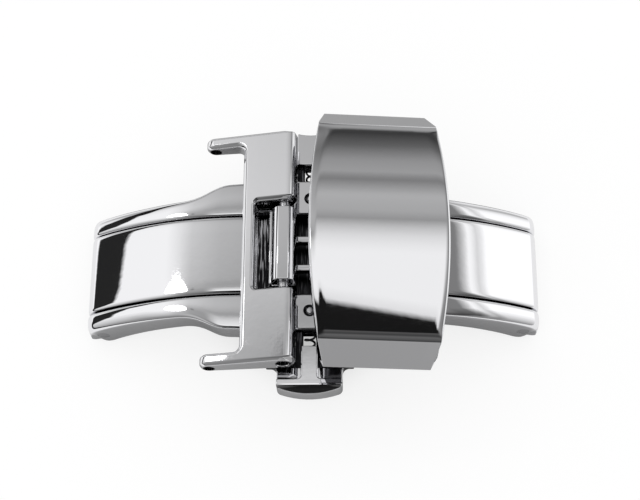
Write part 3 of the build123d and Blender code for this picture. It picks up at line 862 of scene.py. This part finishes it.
def cover(material):
    """The shell with its two cheeks welded in and bored, tilted and set on its pin."""
    far = cheek()
    near = mirrored(far, "Y")
    whole = combined(cover_shell(), [far, near], "UNION")
    bar_half = CHEEK[1] + CHEEK_PLAY
    bores = [rod(0, 0, COVER_BORE_R, -COVER_HALF, COVER_HALF), rod(*BAR, BAR_HOLE_R, -bar_half, bar_half)]
    whole = combined(whole, bores, "DIFFERENCE")
    tilt = Matrix.Rotation(math.radians(COVER_TILT), 3, "Y")
    bmesh.ops.rotate(whole, cent=(0, 0, 0), matrix=tilt, verts=whole.verts)
    bmesh.ops.translate(whole, vec=(HINGE[0], 0, HINGE[1]), verts=whole.verts)
    return make_piece(whole, "cover", material)


def tent_stops(greys, reflects):
    """Ramp stops for a table of angles and sRGB levels, for steel that gives back a share of the light."""
    stops = []
    for degrees, level in greys:
        grey = round(level * 255)
        light = linear("#%02X%02X%02X" % (grey, grey, grey))[0] / reflects
        stops.append(((degrees + HORIZON) / (2 * HORIZON), (light, light, light, 1)))
    return stops


def set_world():
    """A light tent of soft white panels with a few dark gaps, as a polished clasp is photographed in."""
    world = bpy.data.worlds.new("light_tent")
    bpy.context.scene.world = world
    world.use_nodes = True
    tree = world.node_tree
    tree.nodes.clear()
    direction = add_node(tree, "TexCoord").outputs["Generated"]
    x, y, z = add_node(tree, "SeparateXYZ", (direction,)).outputs
    across, along = (
        add_node(tree, "Math", (add_node(tree, "Math", parts, operation=operation),), operation="DEGREES")
        for parts, operation in (((y,), "ARCSINE"), ((x, z), "ARCTAN2")))
    measures = {"x": x, "across": across, "along": along}
    soft = {name: add_node(tree, "MapRange", (measures[measure], start, end), interpolation_type="SMOOTHSTEP")
            for name, (measure, start, end) in SOFT_EDGES.items()}
    gap_lean, end_lean, wing_lean = (
        add_node(tree, "MapRange", (measures[measure], *limits))
        for measure, *limits in (GAP_LEAN, END_LEAN, WING_LEAN))

    # The dark gap overhead lies askew, so its edge moves with the angle along the strap
    gap = add_node(tree, "Math", (soft["near_of_gap"], soft["far_of_gap"]), operation="MULTIPLY")
    above = add_node(tree, "Math", (gap_lean, gap, across), operation="MULTIPLY_ADD")
    above = add_node(tree, "Math", (soft["left_half"], LEFT_HALF_SHIFT, above), operation="MULTIPLY_ADD")

    # The end panels lean as well, most where the flat of the left wing looks
    end_lean = add_node(tree, "Math", (wing_lean, soft["past_rails"], end_lean), operation="MULTIPLY_ADD")
    over_arms = add_node(tree, "Math", (end_lean, soft["left_end"], along), operation="MULTIPLY_ADD")
    lean, upright = RIGHT_LEAN
    right_lean = add_node(tree, "Math", (across, lean, -lean * upright), operation="MULTIPLY_ADD")
    over_arms = add_node(tree, "Math", (right_lean, soft["right_arm"], over_arms), operation="MULTIPLY_ADD")

    tent, sides, shade = (
        add_node(tree, "ValToRGB", (add_node(tree, "MapRange", (angle, -HORIZON, HORIZON)),),
                 stops=tent_stops(greys, reflects))
        for angle, greys, reflects in ((above, ACROSS_GREYS, STEEL_REFLECTS),
                                       (over_arms, ALONG_GREYS, STEEL_REFLECTS), (across, ARM_SHADES, 1.0)))
    arms = add_node(tree, "MixRGB", (1.0, sides, shade), blend_type="MULTIPLY")

    # The left panel darkens low down, with a soft dark patch where the far lug of the link looks
    on_left = add_node(tree, "Math", (soft["left_panel"], soft["left_of_middle"]), operation="MULTIPLY")
    low = add_node(tree, "MapRange", (across, *LEFT_DIMMING[:2], 0.0, LEFT_DIMMING[2]),
                   interpolation_type="SMOOTHSTEP")
    dimmed = add_node(tree, "Math", (low, on_left), operation="MULTIPLY")
    patch_up, patch_along = (
        add_node(tree, "Math", (angle, 1 / reach, -place / reach), operation="MULTIPLY_ADD")
        for angle, place, reach in zip((across, along), PATCH_PLACE, PATCH_REACH))
    from_patch = add_node(tree, "VectorMath", (add_node(tree, "CombineXYZ", (patch_up, patch_along)),),
                          operation="LENGTH").outputs["Value"]
    patch = add_node(tree, "MapRange", (from_patch, 0.0, 1.0, PATCH_DARK, 0.0),
                     interpolation_type="SMOOTHSTEP")
    darkened = add_node(tree, "Math", (dimmed, patch), operation="MAXIMUM")
    arms = add_node(tree, "MixRGB", (darkened, arms, linear("#000000")))

    # The arms see the end panels, and so does all that looks high to the far side, but for the cover
    on_cover = add_node(tree, "Math", (soft["right_half"], soft["left_of_right_arm"]), operation="MULTIPLY")
    off_cover = add_node(tree, "Math", (1.0, on_cover), operation="SUBTRACT")
    high = add_node(tree, "Math", (soft["high"], off_cover), operation="MULTIPLY")
    outer = add_node(tree, "Math", (soft["left_arm"], soft["right_arm"]), operation="MAXIMUM")
    beside = add_node(tree, "Math", (outer, high), operation="MAXIMUM")
    lit = add_node(tree, "MixRGB", (beside, tent, arms))

    # The camera's own dark shape, low on the near side
    camera = CAMERA_DARK
    for edge in ("camera_left", "camera_right", "camera_foot", "camera_top"):
        camera = add_node(tree, "Math", (soft[edge], camera), operation="MULTIPLY")
    lit = add_node(tree, "MixRGB", (camera, lit, linear(CAMERA_GREY)))

    mirrored_tent = add_node(tree, "Background", (lit, 1.0))
    plain_tent = add_node(tree, "Background", (linear("#FFFFFF"), 1.0))
    in_mirror = add_node(tree, "LightPath").outputs["Is Glossy Ray"]
    choice = add_node(tree, "MixShader", (in_mirror, plain_tent, mirrored_tent))
    add_node(tree, "OutputWorld", (choice,))


def set_lamp():
    """A small soft box that leaves the hot spots where the arms bend down."""
    data = bpy.data.lights.new("hot_spot_box", "AREA")
    data.shape = "ELLIPSE"
    data.size, data.size_y = LAMP_SIZE
    data.energy = LAMP_POWER
    lamp = bpy.data.objects.new("hot_spot_box", data)
    bpy.context.scene.collection.objects.link(lamp)
    level = Vector((LAMP_TOWARDS.z, 0, -LAMP_TOWARDS.x)).normalized()
    turn = Matrix((level, LAMP_TOWARDS.cross(level), LAMP_TOWARDS)).transposed().to_4x4()
    lamp.matrix_world = Matrix.Translation(LAMP_TOWARDS * LAMP_AWAY) @ turn


def paper():
    """Matt white paper: white to the camera, with the clasp's soft shadow partly rendered and partly painted,
    and pale grey in the steel, with a painted glow past both ends.
    """
    material, tree = new_material("matt_white_paper")
    place = add_node(tree, "TexCoord").outputs["Object"]
    # Painted shadow: right below the clasp the paper's glow is dimmed, most of all below the slots of the
    # slides
    glow = PAPER_GLOW
    for centre_y, reach_x, reach_y, start, left_inside in PAPER_PAINTED_SHADOWS:
        scale = (1 / (reach_x * MM), 1 / (reach_y * MM), 0)
        shift = (0, -centre_y / reach_y, 0)
        scaled = add_node(tree, "VectorMath", (place, scale, shift), operation="MULTIPLY_ADD")
        away = add_node(tree, "VectorMath", (scaled,), operation="LENGTH").outputs["Value"]
        light = add_node(tree, "MapRange", (away, start, 1.0, left_inside, 1.0),
                         interpolation_type="SMOOTHSTEP")
        glow = add_node(tree, "Math", (light, glow), operation="MULTIPLY")
    # Painted light: past both ends the paper glows brighter in the steel's reflections
    x = add_node(tree, "SeparateXYZ", (place,)).outputs["X"]
    along = add_node(tree, "Math", (x,), operation="ABSOLUTE")
    start, end, strength = PAPER_PAINTED_END_GLOW
    painted_end_glow = add_node(tree, "MapRange", (along, start * MM, end * MM, 0.0, strength),
                        interpolation_type="SMOOTHSTEP")
    mirrored_paper, seen_paper = (
        add_node(tree, "AddShader", (add_node(tree, "BsdfDiffuse", (linear(grey),)),
                                     add_node(tree, "Emission", (linear("#FFFFFF"), strength))))
        for grey, strength in ((PAPER_IN_STEEL, painted_end_glow), (PAPER_SEEN, glow)))
    to_camera = add_node(tree, "LightPath").outputs["Is Camera Ray"]
    choice = add_node(tree, "MixShader", (to_camera, mirrored_paper, seen_paper))
    add_node(tree, "OutputMaterial", (choice,))
    return material


def lay_paper():
    sheet = bmesh.new()
    bmesh.ops.create_grid(sheet, x_segments=1, y_segments=1, size=PAPER_HALF)
    mesh = bpy.data.meshes.new("floor")
    sheet.to_mesh(mesh)
    sheet.free()
    mesh.materials.append(paper())
    floor = bpy.data.objects.new("floor", mesh)
    bpy.context.scene.collection.objects.link(floor)


set_camera()
set_world()
set_lamp()
lay_paper()
# Painted shade: the channel, the wings' hinge ends, the cover's cheeks, the link's bores and the slides take
# darker greys where shade falls
base_frame(buffed_steel("buffed_steel_with_painted_shade_in_channel", in_channel, (MIDDLE_HALF, CHANNEL_TOP)))
wing_steel = buffed_steel("buffed_steel_with_painted_shade_on_hinge_end", in_channel, (HINGE_END_HALF, HINGE_END_TOP),
                          PAINTED_SHADE_GREYS_HINGE_END)
wing("right_wing", 1, wing_steel)
wing("left_wing", -1, wing_steel)
cover(buffed_steel("buffed_steel_with_painted_shade_on_cheeks", below_rim, (), PAINTED_SHADE_GREYS_CHEEKS, COVER_RIPPLE_HEIGHT))
strap_link(buffed_steel("buffed_steel_with_painted_shade_in_bores", in_link_bores))
slide_steel = buffed_steel("buffed_steel_with_painted_shade_on_slide", in_channel, (SLIDE_HALF, CHANNEL_TOP))
looks = {
    "polished_steel": buffed_steel("buffed_stainless_steel"),
    "turned_steel": turned_steel(),
    "spring_steel": spring_steel(),
}
for node in frame["nodes"]:
    if node in ("near_button", "far_button", "near_guide_plate", "far_guide_plate"):
        finished(node, slide_steel)
    elif node in ("near_button_spring", "far_button_spring"):
        return_spring(node, looks[slots[node]])
    elif node not in ("base_frame", "left_wing", "right_wing", "cover", "strap_link"):
        finished(node, looks[slots[node]])

bpy.context.scene.view_settings.view_transform = "Standard"
